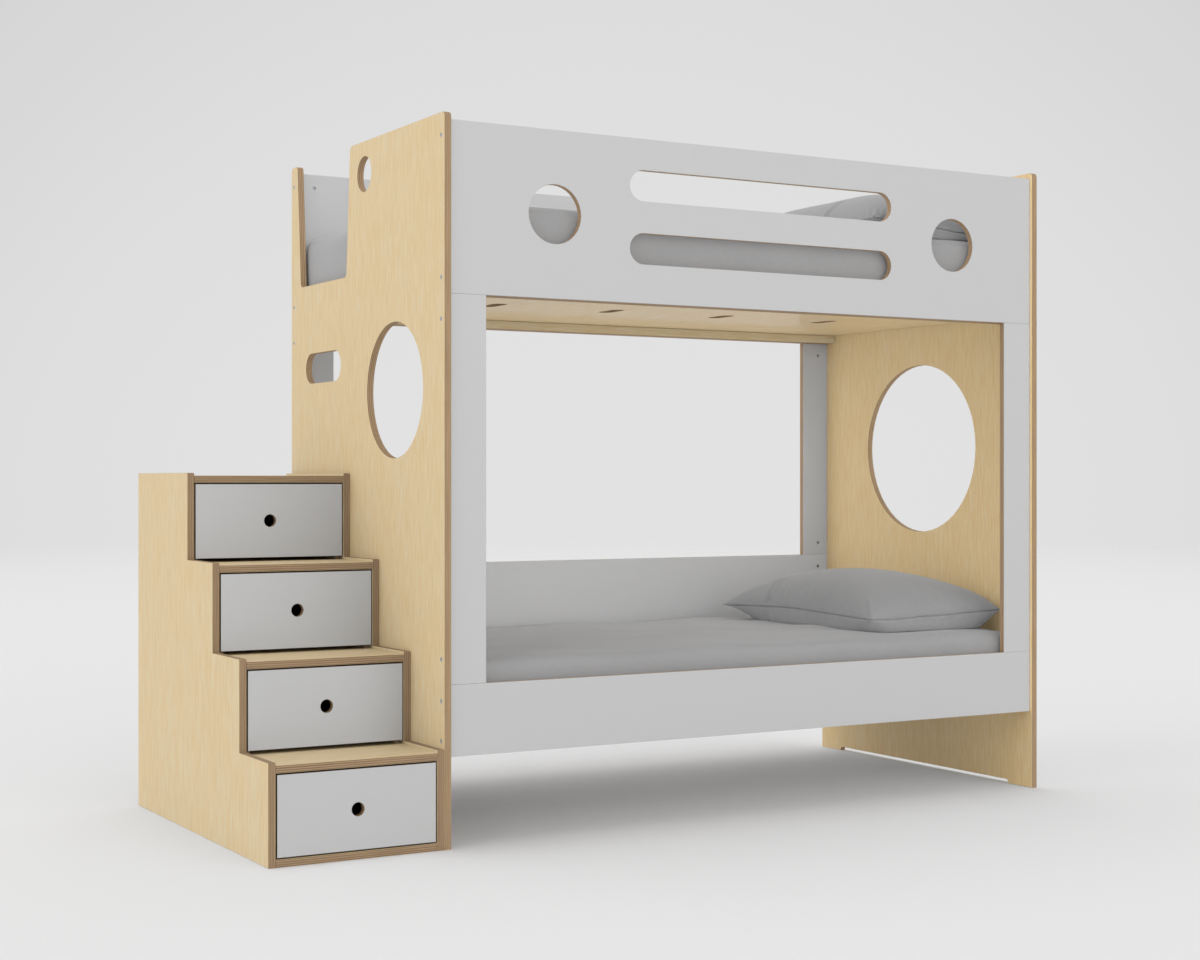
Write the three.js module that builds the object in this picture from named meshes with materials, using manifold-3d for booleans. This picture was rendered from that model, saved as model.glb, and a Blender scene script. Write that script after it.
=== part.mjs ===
// A bunk bed of plywood panels with a stair of drawers at its left end.
// Millimetres. +X runs along the bed away from the stair, +Y to the back and +Z up.
// The origin is on the floor, under the middle of bed and stair together.

import * as THREE from "three";
import { mergeVertices } from "three/addons/utils/BufferGeometryUtils.js";
import Module from "manifold-3d";

// Sheet material and fits
const panel = 19; // thickness of every plywood panel
const seat = 0.3; // gap between pieces that touch
const edgeBreak = 1; // chamfer along the cut edges of a panel
const overrun = 5; // how far a cut runs past the face it starts from

// Bed, outside
const bedHeight = 1840;
const bedDepth = 1044;
const innerLength = 1922; // clear length between the two end panels
const railSetback = 9.5; // long panels stand back from the end panels' edges
const panelCorner = 12; // radius at the upper corners of the end panels

// Feet of the end panels
const footLength = 105;
const footRelief = 12; // height of the cut between the feet
const footCornerShare = 5 / 6; // radius of the cut's corners, of its height

// Long panels
const guardRailDrop = 17; // from the end panels' top to the guard rails' top
const guardRailHeight = 435;
const lowerRailBottom = 229; // floor clearance under the bed
const frontRailHeight = 180;
const backRailHeight = 437;
const stileWidth = 102;

// Holes in the front guard rail
const portRadius = 77;
const portPitch = 1321;
const grilleLength = 871;
const grilleHeight = 82.5;
const grillePitch = 166.5;
const grilleRaise = 10; // the pair of slots sits this far above the middle of the rail

// Entry notch at the top of the left end panel
const hornWidth = 46.5; // left standing behind the notch, at the top
const notchBottomWidth = 341;
const notchTopWidth = 395;
const notchDepth = 357;
const notchCorner = 14;

// Holes in the left end panel: the window's place is from the front edge, its height from the floor
const leftWindowRadius = 179;
const leftWindowPlace = 306;
const leftWindowHeight = 1157;
const peepholeRadius = 48;
const peepholeFromNotch = 98.5; // from the notch's upper front corner to the middle of the hole
const peepholeDrop = 89; // from the top
const gripLength = 261;
const gripHeight = 86;
const gripDrop = 241; // from the notch's floor to the middle of the grip

// Window in the right end panel
const rightWindowRadius = 268;
const rightWindowHeight = 1023;

// Decks
const ledgerHeight = 26;
const ledgerDepth = 40;
const boardsPerDeck = 5;
const boardGap = 1;
const fingerSlotLength = 110;
const fingerSlotWidth = 40;

// Bedding
const mattressThickness = 197;
const mattressRadius = 34;
const mattressCrown = 5;
const mattressSideGap = 6; // to the long panels
const mattressEndGap = 6; // to the end panels
const pillowSideRoom = 215; // mattress left free at the two ends of a pillow together
const pillowWidth = 507;
const pillowHeight = 171;
const pillowSeamHeight = 43;
const pillowPinch = 26; // how far the sides draw in between the corners
const lowerPillowEndGap = 19; // from the right end panel to the pillow
const lowerPillowForward = 34; // from the middle of the bed to the middle of the pillow
const lowerPillowTurn = 0.006; // radians
const upperPillowEndGap = 43;
const upperPillowForward = 72;
const upperPillowTurn = -0.02;

// Connector bolts and barrel nuts that hold the long panels between the end panels
const boltRadius = 3;
const boltHeadRadius = 6;
const boltHeadThickness = 2.5;
const boltRecess = 0.3; // the head lies this far below the panel's face
const boltTip = 6; // length past the nut's centre line
const socketRadius = 2.3;
const socketDepth = 1.5;
const socketSides = 6;
const nutRadius = 5;
const nutLength = 12;
const nutInset = 40; // from the end of a rail or stile to the nut
const railBoltInset = 40; // from a rail's long edge to its bolt
const leftStileBoltInset = 64; // from a stile's end to its bolt
const rightStileBoltInset = 40;

// Stair
const stairWidth = 461;
const stairSetback = 4; // from the bed's depth to the stair's
const stepCount = 4;
const firstRise = 243;
const stepRise = 230;
const stepGoing = 201;
const sideLip = 7; // the sides stand this far above the treads
const stairCorner = 3;

// Drawers
const drawerGap = 3; // round a drawer front
const drawerLift = 9; // from a tread to the drawer front above it
const drawerInset = 1; // drawer fronts behind the stair's front edges
const drawerBackGap = 15;
const boxSetIn = 1; // the box is narrower than its front on each side
const boxTopDrop = 50; // from the front's top to the box's top
const boxWall = 12;
const boxFloor = 6;
const grooveDepth = 5;
const grooveHeight = 10; // from a side's lower edge to its groove
const fingerHoleRadius = 17;

// Sides of round shapes
const windowSides = 56;
const portSides = 36;
const fingerHoleSides = 24;
const boreSides = 12;
const cornerSteps = 4;
const slotSteps = 12;
const mattressSegments = [14, 12, 7]; // along x, y and z
const mattressRim = 3; // of the segments at each end, those on the rounded edge
const pillowSegments = [18, 22]; // along x and y

// Values that follow from the sizes above
const bedLength = innerLength + 2 * panel;
const totalLength = stairWidth + seat + bedLength;
const bedLeft = totalLength / 2 - bedLength;
const bedFront = -bedDepth / 2;
const guardRailBottom = bedHeight - guardRailDrop - guardRailHeight;
const railLength = innerLength - 2 * seat;
const frontInner = railSetback + panel; // inner faces of the long panels, from the bed's front
const backInner = bedDepth - frontInner;
const boltHoleRadius = boltRadius + seat;
const counterboreRadius = boltHeadRadius + seat;
const counterboreDepth = boltRecess + boltHeadThickness + seat;
const nutHoleRadius = nutRadius + seat;
const nutHoleDepth = panel / 2 + nutLength / 2 + seat;
const notchCentre = bedDepth - hornWidth - notchTopWidth / 2;
const peepholePlace = notchCentre - notchTopWidth / 2 - peepholeFromNotch;
const mattressLength = innerLength - 2 * mattressEndGap;
const mattressWidth = backInner - frontInner - 2 * mattressSideGap;
const pillowLength = mattressWidth - pillowSideRoom; // across the bed
const stairDepth = bedDepth - stairSetback;
const compartmentWidth = stairWidth - 2 * panel;
const frontWidth = compartmentWidth - 2 * drawerGap;
const boxWidth = frontWidth - 2 * boxSetIn;

const wasm = await Module();
wasm.setup();

const plywood = () => new THREE.MeshStandardMaterial({ color: 0xdcc79c, roughness: 0.6, metalness: 0 });
const laminate = () => new THREE.MeshStandardMaterial({ color: 0xe6e6e4, roughness: 0.5, metalness: 0 });
const boxPly = () => new THREE.MeshStandardMaterial({ color: 0xd2b98a, roughness: 0.7, metalness: 0 });
const fabric = () => new THREE.MeshStandardMaterial({ color: 0xa6a6a6, roughness: 0.95, metalness: 0 });
const steel = () => new THREE.MeshStandardMaterial({ color: 0x9aa0a8, roughness: 0.35, metalness: 0.9 });

// A geometry as a solid that can be joined and cut.
function toSolid(geometry) {
  const bare = geometry.clone();
  bare.deleteAttribute("normal");
  bare.deleteAttribute("uv");
  const merged = mergeVertices(bare);
  return new wasm.Manifold(
    new wasm.Mesh({
      numProp: 3,
      vertProperties: merged.attributes.position.array,
      triVerts: new Uint32Array(merged.index.array),
    }),
  );
}

// A solid back as a geometry with flat faces.
function toGeometry(solid) {
  const { numProp, vertProperties, triVerts } = solid.getMesh();
  const indexed = new THREE.BufferGeometry();
  indexed.setAttribute("position", new THREE.BufferAttribute(new Float32Array(vertProperties), numProp));
  indexed.setIndex(new THREE.BufferAttribute(triVerts, 1));
  const geometry = indexed.toNonIndexed();
  geometry.computeVertexNormals();
  return geometry;
}

// The geometry with every cutter taken away.
function cut(geometry, cutters) {
  let solid = toSolid(geometry);
  for (const cutter of cutters) solid = solid.subtract(toSolid(cutter));
  return toGeometry(solid);
}

function mesh(name, geometry, material, position) {
  const made = new THREE.Mesh(geometry, material);
  made.name = name;
  made.position.set(...position);
  return made;
}

// Points along an arc from one angle to another, both ends included.
function arc(x, y, radius, from, to, steps) {
  return Array.from({ length: steps + 1 }, (_, i) => {
    const angle = from + ((to - from) * i) / steps;
    return new THREE.Vector2(x + radius * Math.cos(angle), y + radius * Math.sin(angle));
  });
}

function circle(x, y, radius, sides) {
  return arc(x, y, radius, 0, 2 * Math.PI, sides).slice(0, sides);
}

// A slot with round ends, longer along x.
function obround(x, y, length, height) {
  const reach = length / 2 - height / 2;
  return [
    ...arc(x + reach, y, height / 2, -Math.PI / 2, Math.PI / 2, slotSteps),
    ...arc(x - reach, y, height / 2, Math.PI / 2, (3 * Math.PI) / 2, slotSteps),
  ];
}

// A closed outline from corners [x, y, radius], each rounded by its radius.
function rounded(corners) {
  return corners.flatMap(([x, y, radius], i) => {
    const corner = new THREE.Vector2(x, y);
    if (!radius) return [corner];
    const [beforeX, beforeY] = corners.at(i - 1);
    const [afterX, afterY] = corners[(i + 1) % corners.length];
    const toBefore = new THREE.Vector2(beforeX, beforeY).sub(corner).normalize();
    const toAfter = new THREE.Vector2(afterX, afterY).sub(corner).normalize();
    const half = toBefore.angleTo(toAfter) / 2;
    const middle = toBefore.clone().add(toAfter).normalize();
    const centre = corner.clone().addScaledVector(middle, radius / Math.sin(half));
    const turn = Math.sign(toBefore.cross(toAfter)) * (half - Math.PI / 2);
    const facing = Math.atan2(-middle.y, -middle.x);
    return arc(centre.x, centre.y, radius, facing - turn, facing + turn, cornerSteps);
  });
}

function rectangle(width, height) {
  return [[0, 0], [width, 0], [width, height], [0, height]].map(([x, y]) => new THREE.Vector2(x, y));
}

// A board of the given thickness, from z = 0 up, with its edges and the rims of its holes broken.
function board(outline, holes = [], thickness = panel) {
  const shape = new THREE.Shape(outline);
  shape.holes = holes.map((points) => new THREE.Path(points));
  return new THREE.ExtrudeGeometry(shape, {
    depth: thickness - 2 * edgeBreak,
    bevelThickness: edgeBreak,
    bevelSize: edgeBreak,
    bevelOffset: -edgeBreak,
    bevelSegments: 1,
  }).translate(0, 0, edgeBreak);
}

// Stands a board up across the bed: its outline's x runs to +Y and y to +Z, its thickness to +X.
function standAcross(made) {
  made.rotation.set(Math.PI / 2, Math.PI / 2, 0);
  return made;
}

// Stands a board up along the bed: its outline's x runs to +X and y to +Z, its thickness to -Y.
function standAlong(made) {
  made.rotation.x = Math.PI / 2;
  return made;
}

// A round cutter or pin with its axis along z, from one height to another.
function roundBar(x, y, radius, from, to) {
  return new THREE.CylinderGeometry(radius, radius, to - from, boreSides)
    .rotateX(Math.PI / 2)
    .translate(x, y, (from + to) / 2);
}

// Heights of the bolts of one upright column, from the floor, for a rail height and a stile inset.
function boltHeights(lowRailHeight, stileInset) {
  const lowTop = lowerRailBottom + lowRailHeight;
  return [
    lowerRailBottom + railBoltInset,
    lowTop - railBoltInset,
    lowTop + stileInset,
    guardRailBottom - stileInset,
    guardRailBottom + railBoltInset,
    guardRailBottom + guardRailHeight - railBoltInset,
  ];
}

// Cutters for the bolts through an end panel, with the heads sunk into its outer face.
function endPanelBores(stileInset, headZ, headDirection) {
  const columns = [
    [railSetback + panel / 2, frontRailHeight],
    [bedDepth - railSetback - panel / 2, backRailHeight],
  ];
  const headFrom = headZ + headDirection * overrun;
  const headTo = headZ - headDirection * counterboreDepth;
  return columns.flatMap(([place, lowRailHeight]) =>
    boltHeights(lowRailHeight, stileInset).flatMap((height) => [
      roundBar(place, height, boltHoleRadius, -overrun, panel + overrun),
      roundBar(place, height, counterboreRadius, Math.min(headFrom, headTo), Math.max(headFrom, headTo)),
    ]),
  );
}

function endPanelOutline(top) {
  const footCorner = footRelief * footCornerShare;
  return rounded([
    [0, 0, 0],
    [footLength, 0, 0],
    [footLength, footRelief, footCorner],
    [bedDepth - footLength, footRelief, footCorner],
    [bedDepth - footLength, 0, 0],
    [bedDepth, 0, 0],
    [bedDepth, bedHeight, panelCorner],
    ...top,
    [0, bedHeight, panelCorner],
  ]);
}

function leftEndPanel() {
  const notchFloor = bedHeight - notchDepth;
  const outline = endPanelOutline([
    [notchCentre + notchTopWidth / 2, bedHeight, panelCorner],
    [notchCentre + notchBottomWidth / 2, notchFloor, notchCorner],
    [notchCentre - notchBottomWidth / 2, notchFloor, notchCorner],
    [notchCentre - notchTopWidth / 2, bedHeight, panelCorner],
  ]);
  const holes = [
    circle(leftWindowPlace, leftWindowHeight, leftWindowRadius, windowSides),
    circle(peepholePlace, bedHeight - peepholeDrop, peepholeRadius, portSides),
    obround(notchCentre, notchFloor - gripDrop, gripLength, gripHeight),
  ];
  const geometry = cut(board(outline, holes), endPanelBores(leftStileBoltInset, 0, -1));
  return standAcross(mesh("left_end_panel", geometry, plywood(), [0, 0, 0]));
}

function rightEndPanel() {
  const window = circle(bedDepth / 2, rightWindowHeight, rightWindowRadius, windowSides);
  const bores = endPanelBores(rightStileBoltInset, panel, 1);
  const geometry = cut(board(endPanelOutline([]), [window]), bores);
  return standAcross(mesh("right_end_panel", geometry, plywood(), [bedLength - panel, 0, 0]));
}

// Cutters for one bolt that enters a long panel's end and for its barrel nut.
// The end is at x and the panel lies in the given direction; the nut enters from the inner face.
function connectorBores(x, direction, height, innerFace) {
  const depth = nutInset + boltTip + seat;
  const bolt = new THREE.CylinderGeometry(boltHoleRadius, boltHoleRadius, depth + overrun, boreSides)
    .rotateZ(Math.PI / 2)
    .translate(x + (direction * (depth - overrun)) / 2, height, panel / 2);
  const nutFrom = innerFace ? panel - nutHoleDepth : -overrun;
  const nutTo = innerFace ? panel + overrun : nutHoleDepth;
  return [bolt, roundBar(x + direction * nutInset, height, nutHoleRadius, nutFrom, nutTo)];
}

// A long panel of the front or back frame. The inner face is at z = 0 in front and z = panel behind.
function railPanel(name, atBack, bottom, height, holes = []) {
  const innerFace = atBack ? panel : 0;
  const bores = [railBoltInset, height - railBoltInset].flatMap((level) => [
    ...connectorBores(0, 1, level, innerFace),
    ...connectorBores(railLength, -1, level, innerFace),
  ]);
  const geometry = cut(board(rectangle(railLength, height), holes), bores);
  const y = atBack ? bedDepth - railSetback : frontInner;
  return standAlong(mesh(name, geometry, laminate(), [panel + seat, y, bottom]));
}

function stile(name, atBack, atRight) {
  const lowRailHeight = atBack ? backRailHeight : frontRailHeight;
  const bottom = lowerRailBottom + lowRailHeight + seat;
  const height = guardRailBottom - seat - bottom;
  const width = stileWidth - seat;
  const inset = (atRight ? rightStileBoltInset : leftStileBoltInset) - seat;
  const endX = atRight ? width : 0;
  const direction = atRight ? -1 : 1;
  const bores = [inset, height - inset].flatMap((level) =>
    connectorBores(endX, direction, level, atBack ? panel : 0),
  );
  const x = atRight ? bedLength - panel - seat - width : panel + seat;
  const y = atBack ? bedDepth - railSetback : frontInner;
  const geometry = cut(board(rectangle(width, height)), bores);
  return standAlong(mesh(name, geometry, laminate(), [x, y, bottom]));
}

function guardRailHoles() {
  const middle = railLength / 2;
  const centre = guardRailHeight / 2;
  const grilleCentre = centre + grilleRaise;
  return [
    circle(middle - portPitch / 2, centre, portRadius, portSides),
    circle(middle + portPitch / 2, centre, portRadius, portSides),
    obround(middle, grilleCentre + grillePitch / 2, grilleLength, grilleHeight),
    obround(middle, grilleCentre - grillePitch / 2, grilleLength, grilleHeight),
  ];
}

// A batten along the inner face of a long panel that carries the ends of the deck boards.
function ledger(name, atBack, bottom) {
  const y = atBack ? backInner - seat - ledgerDepth : frontInner + seat;
  const geometry = board(rectangle(railLength, ledgerDepth), [], ledgerHeight);
  return mesh(name, geometry, plywood(), [panel + seat, y, bottom]);
}

// Half of a finger slot in a board's edge at x. Travel is 1 up the right edge, -1 down the left.
function halfSlot(x, middle, travel) {
  const radius = fingerSlotWidth / 2;
  const reach = fingerSlotLength / 2 - radius;
  const inward = travel > 0 ? Math.PI : 0;
  const quarter = Math.PI / 2;
  return [
    ...arc(x, middle - travel * reach, radius, inward + quarter, inward, cornerSteps),
    ...arc(x, middle + travel * reach, radius, inward, inward - quarter, cornerSteps),
  ];
}

// One deck board across the bed. A finger slot is shared by each two boards that meet.
function deckBoard(name, index, ledgerBottom) {
  const pitch = innerLength / boardsPerDeck;
  const width = pitch - boardGap;
  const length = backInner - frontInner - 2 * seat;
  const outline = [new THREE.Vector2(0, 0), new THREE.Vector2(width, 0)];
  if (index < boardsPerDeck - 1) outline.push(...halfSlot(width, length / 2, 1));
  outline.push(new THREE.Vector2(width, length), new THREE.Vector2(0, length));
  if (index > 0) outline.push(...halfSlot(0, length / 2, -1));
  const position = [
    panel + index * pitch + boardGap / 2,
    frontInner + seat,
    ledgerBottom + ledgerHeight + seat,
  ];
  return mesh(name, board(outline), plywood(), position);
}

const deckTop = (ledgerBottom) => ledgerBottom + ledgerHeight + seat + panel;

// Even steps between -1 and 1, with the given share of them packed into a rim at each end.
function rimSteps(count, rimCount, rimShare) {
  return Array.from({ length: count + 1 }, (_, i) => {
    const fromEnd = Math.min(i, count - i);
    const sign = i < count - i ? -1 : 1;
    if (fromEnd <= rimCount) return sign * (1 - (rimShare * fromEnd) / rimCount);
    return (1 - rimShare) * ((2 * (i - rimCount)) / (count - 2 * rimCount) - 1);
  });
}

// A mattress: a box rounded by a radius, its upper face crowned by (1 - x^6)(1 - y^6).
function mattress(name, ledgerBottom) {
  const cube = 2; // the unit cube runs from -1 to 1
  const crownPower = 6;
  const height = mattressThickness - mattressCrown;
  const half = new THREE.Vector3(mattressLength, mattressWidth, height).divideScalar(2);
  const steps = [half.x, half.y, half.z].map((size, axis) =>
    rimSteps(mattressSegments[axis], mattressRim, mattressRadius / size),
  );
  const geometry = new THREE.BoxGeometry(cube, cube, cube, ...mattressSegments);
  const places = geometry.attributes.position;
  for (let i = 0; i < places.count; i++) {
    const share = [places.getX(i), places.getY(i), places.getZ(i)].map(
      (value, axis) => steps[axis][Math.round(((value + 1) / cube) * mattressSegments[axis])],
    );
    const point = new THREE.Vector3(...share).multiply(half);
    const inner = half.clone().subScalar(mattressRadius);
    const core = point.clone().clamp(inner.clone().negate(), inner);
    const out = point.clone().sub(core);
    if (out.lengthSq() > 0) point.copy(core).addScaledVector(out.normalize(), mattressRadius);
    const crown = mattressCrown * (1 - share[0] ** crownPower) * (1 - share[1] ** crownPower);
    places.setXYZ(i, point.x, point.y, point.z + Math.max(share[2], 0) * crown);
  }
  geometry.computeVertexNormals();
  return mesh(name, geometry, fabric(), [
    panel + innerLength / 2,
    bedDepth / 2,
    deckTop(ledgerBottom) + seat + half.z,
  ]);
}

// A pillow: two sheets joined at a seam, whose height follows ((1 - x^2)(1 - y^2))^0.43 above it.
// The sides draw in between the corners, and the lower sheet lies flat on the mattress.
function pillow(name, ledgerBottom, endGap, forward, turn) {
  const [across, along] = pillowSegments;
  const plumpness = 0.43;
  const flatness = 1.6; // how soon the lower sheet reaches the mattress
  const rise = pillowHeight - pillowSeamHeight;
  const point = (i, j, upper) => {
    const x = -Math.cos((Math.PI * i) / across);
    const y = -Math.cos((Math.PI * j) / along);
    const fill = Math.max((1 - x ** 2) * (1 - y ** 2), 0) ** plumpness;
    const height = upper ? rise * fill : -pillowSeamHeight * Math.min(flatness * fill, 1);
    return [
      x * (pillowWidth / 2 - pillowPinch * (1 - y ** 2) * Math.abs(x)),
      y * (pillowLength / 2 - pillowPinch * (1 - x ** 2) * Math.abs(y)),
      pillowSeamHeight + height,
    ];
  };
  const corners = [];
  for (const upper of [true, false])
    for (let i = 0; i < across; i++)
      for (let j = 0; j < along; j++) {
        const square = [[i, j], [i + 1, j], [i + 1, j + 1], [i, j + 1]].map(([a, b]) => point(a, b, upper));
        const order = upper ? [0, 1, 2, 0, 2, 3] : [0, 2, 1, 0, 3, 2];
        corners.push(...order.flatMap((k) => square[k]));
      }
  const geometry = new THREE.BufferGeometry();
  geometry.setAttribute("position", new THREE.Float32BufferAttribute(corners, 3));
  const solid = toGeometry(toSolid(geometry));
  const made = mesh(name, solid, fabric(), [
    bedLength - panel - endGap - pillowWidth / 2,
    bedDepth / 2 - forward,
    deckTop(ledgerBottom) + seat + mattressThickness + seat,
  ]);
  made.rotation.z = turn;
  return made;
}

// A connector bolt: its head's outer face at z = 0 and its shank up along z.
function bolt(name) {
  const length = panel - boltRecess + seat + nutInset + boltTip;
  const profile = [
    [0, 0],
    [boltHeadRadius, 0],
    [boltHeadRadius, boltHeadThickness],
    [boltRadius, boltHeadThickness],
    [boltRadius, length],
    [0, length],
  ].map(([radius, height]) => new THREE.Vector2(radius, height));
  const body = new THREE.LatheGeometry(profile, boreSides).rotateX(Math.PI / 2);
  const socket = new THREE.CylinderGeometry(socketRadius, socketRadius, socketDepth + overrun, socketSides)
    .rotateX(Math.PI / 2)
    .translate(0, 0, (socketDepth - overrun) / 2);
  return mesh(name, cut(body, [socket]), steel(), [0, 0, 0]);
}

// A barrel nut across the bolt, with the bolt's hole through it.
function barrelNut(name) {
  const body = roundBar(0, 0, nutRadius, -nutLength / 2, nutLength / 2);
  const across = 2 * (nutRadius + overrun);
  const hole = new THREE.CylinderGeometry(boltHoleRadius, boltHoleRadius, across, boreSides).rotateZ(Math.PI / 2);
  return mesh(name, cut(body, [hole]), steel(), [0, 0, 0]);
}

// The upper bolt and nut at each end of the front guard rail.
function guardRailFasteners() {
  const level = guardRailBottom + guardRailHeight - railBoltInset;
  const depth = railSetback + panel / 2;
  return [[-1, "left"], [1, "right"]].flatMap(([side, word]) => {
    const outerFace = side < 0 ? 0 : bedLength;
    const made = bolt("guard_rail_bolt_" + word);
    made.position.set(outerFace - side * boltRecess, depth, level);
    made.rotation.y = (-side * Math.PI) / 2;
    const nut = barrelNut("guard_rail_nut_" + word);
    nut.position.set(outerFace - side * (panel + seat + nutInset), depth, level);
    nut.rotation.x = Math.PI / 2;
    return [made, nut];
  });
}

function bedGroup() {
  const bed = new THREE.Group();
  bed.position.set(bedLeft, bedFront, 0);
  bed.add(leftEndPanel(), rightEndPanel());
  bed.add(
    railPanel("front_guard_rail", false, guardRailBottom, guardRailHeight, guardRailHoles()),
    railPanel("front_bottom_rail", false, lowerRailBottom, frontRailHeight),
    railPanel("back_guard_rail", true, guardRailBottom, guardRailHeight),
    railPanel("back_bottom_rail", true, lowerRailBottom, backRailHeight),
  );
  for (const [word, atBack] of [["front", false], ["back", true]])
    bed.add(stile(word + "_left_stile", atBack, false), stile(word + "_right_stile", atBack, true));
  for (const [word, ledgerBottom] of [["upper", guardRailBottom], ["lower", lowerRailBottom]]) {
    bed.add(
      ledger(word + "_front_ledger", false, ledgerBottom),
      ledger(word + "_back_ledger", true, ledgerBottom),
      mattress(word + "_mattress", ledgerBottom),
    );
    for (let i = 0; i < boardsPerDeck; i++)
      bed.add(deckBoard(word + "_deck_board_" + (i + 1), i, ledgerBottom));
  }
  bed.add(
    pillow("upper_pillow", guardRailBottom, upperPillowEndGap, upperPillowForward, upperPillowTurn),
    pillow("lower_pillow", lowerRailBottom, lowerPillowEndGap, lowerPillowForward, lowerPillowTurn),
  );
  bed.add(...guardRailFasteners());
  return bed;
}

const treadTop = (step) => firstRise + step * stepRise;

function stairSide(name, x) {
  const top = treadTop(stepCount - 1) + sideLip;
  const corners = [[0, 0, 0], [stairDepth, 0, 0], [stairDepth, top, stairCorner]];
  for (let step = stepCount - 1; step >= 0; step--) {
    corners.push([step * stepGoing, treadTop(step) + sideLip, stairCorner]);
    if (step > 0) corners.push([step * stepGoing, treadTop(step - 1) + sideLip, 0]);
  }
  return standAcross(mesh(name, board(rounded(corners)), plywood(), [x, 0, 0]));
}

// A tread from its step's front edge. The top one covers the back panel and the others stop at it.
function tread(step) {
  const depth = step === stepCount - 1 ? stairDepth : stairDepth - panel - seat;
  const outline = rectangle(compartmentWidth - 2 * seat, depth - step * stepGoing);
  const position = [panel + seat, step * stepGoing, treadTop(step) - panel];
  return mesh("stair_tread_" + (step + 1), board(outline), plywood(), position);
}

function stairBase() {
  const outline = rectangle(compartmentWidth - 2 * seat, stairDepth - panel - seat);
  return mesh("stair_base", board(outline), plywood(), [panel + seat, 0, 0]);
}

function stairBack() {
  const height = treadTop(stepCount - 1) - panel - seat;
  const outline = rectangle(compartmentWidth - 2 * seat, height);
  return standAlong(mesh("stair_back", board(outline), plywood(), [panel + seat, stairDepth, 0]));
}

// A drawer side: its section, with a groove for the floor, carried from front to back.
function drawerSide(name, length, height, mirrored) {
  const inner = mirrored ? 0 : boxWall;
  const groove = mirrored ? grooveDepth : boxWall - grooveDepth;
  const outer = mirrored ? boxWall : 0;
  const grooveTop = grooveHeight + boxFloor + 2 * seat;
  const corners = [
    [outer, 0],
    [inner, 0],
    [inner, grooveHeight],
    [groove, grooveHeight],
    [groove, grooveTop],
    [inner, grooveTop],
    [inner, height],
    [outer, height],
  ].map(([x, y]) => new THREE.Vector2(x, y));
  const shape = new THREE.Shape(corners);
  const geometry = new THREE.ExtrudeGeometry(shape, { depth: length, bevelEnabled: false });
  return standAlong(mesh(name, geometry, boxPly(), [0, 0, 0]));
}

// One drawer, from its front's outer face. The box slides on the tread or base below it.
function drawer(step) {
  const name = "drawer_" + (step + 1) + "_";
  const below = step > 0 ? treadTop(step - 1) : panel;
  const lift = step > 0 ? drawerLift : drawerGap;
  const frontHeight = treadTop(step) - panel - drawerGap - below - lift;
  const boxHeight = lift + frontHeight - boxTopDrop - seat;
  const boxStart = panel + seat; // behind the front
  const boxLength = stairDepth - panel - drawerBackGap - step * stepGoing - drawerInset - boxStart;
  const boxEnd = boxStart + boxLength;
  const hole = circle(frontWidth / 2, frontHeight / 2, fingerHoleRadius, fingerHoleSides);
  const frontBoard = board(rectangle(frontWidth, frontHeight), [hole]);
  const front = mesh(name + "front", frontBoard, laminate(), [0, panel, lift]);
  const left = drawerSide(name + "left_side", boxLength, boxHeight, false);
  left.position.set(boxSetIn, boxEnd, seat);
  const right = drawerSide(name + "right_side", boxLength, boxHeight, true);
  right.position.set(boxSetIn + boxWidth - boxWall, boxEnd, seat);
  const floorEdge = boxWall - grooveDepth + seat; // from the box's outer face to the floor's edge
  const floorBottom = seat + grooveHeight + seat;
  const floorBoard = board(rectangle(boxWidth - 2 * floorEdge, boxLength), [], boxFloor);
  const floor = mesh(name + "floor", floorBoard, boxPly(), [boxSetIn + floorEdge, boxStart, floorBottom]);
  const backBottom = floorBottom + boxFloor + seat;
  const backEdge = boxWall + seat;
  const backOutline = rectangle(boxWidth - 2 * backEdge, seat + boxHeight - backBottom);
  const backBoard = board(backOutline, [], boxWall);
  const back = mesh(name + "back", backBoard, boxPly(), [boxSetIn + backEdge, boxEnd, backBottom]);
  const made = new THREE.Group();
  made.add(standAlong(front), left, right, floor, standAlong(back));
  made.position.set(panel + drawerGap, step * stepGoing + drawerInset, below);
  return made;
}

function stairGroup() {
  const stair = new THREE.Group();
  stair.position.set(bedLeft - seat - stairWidth, bedFront, 0);
  stair.add(stairSide("stair_outer_side", 0), stairSide("stair_inner_side", stairWidth - panel));
  stair.add(stairBase(), stairBack());
  for (let step = 0; step < stepCount; step++) stair.add(tread(step), drawer(step));
  return stair;
}

const bunkBed = new THREE.Group();
bunkBed.name = "bunk_bed_with_storage_stair";
bunkBed.add(bedGroup(), stairGroup());

export default bunkBed;
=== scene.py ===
"""Finishes, bedding, connectors and studio of a plywood bunk bed with a stair of drawers.

Metres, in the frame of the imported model: +X along the bed, away from the stair, +Y to the back, +Z up,
with the origin on the floor under the middle.
"""

import math

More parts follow.
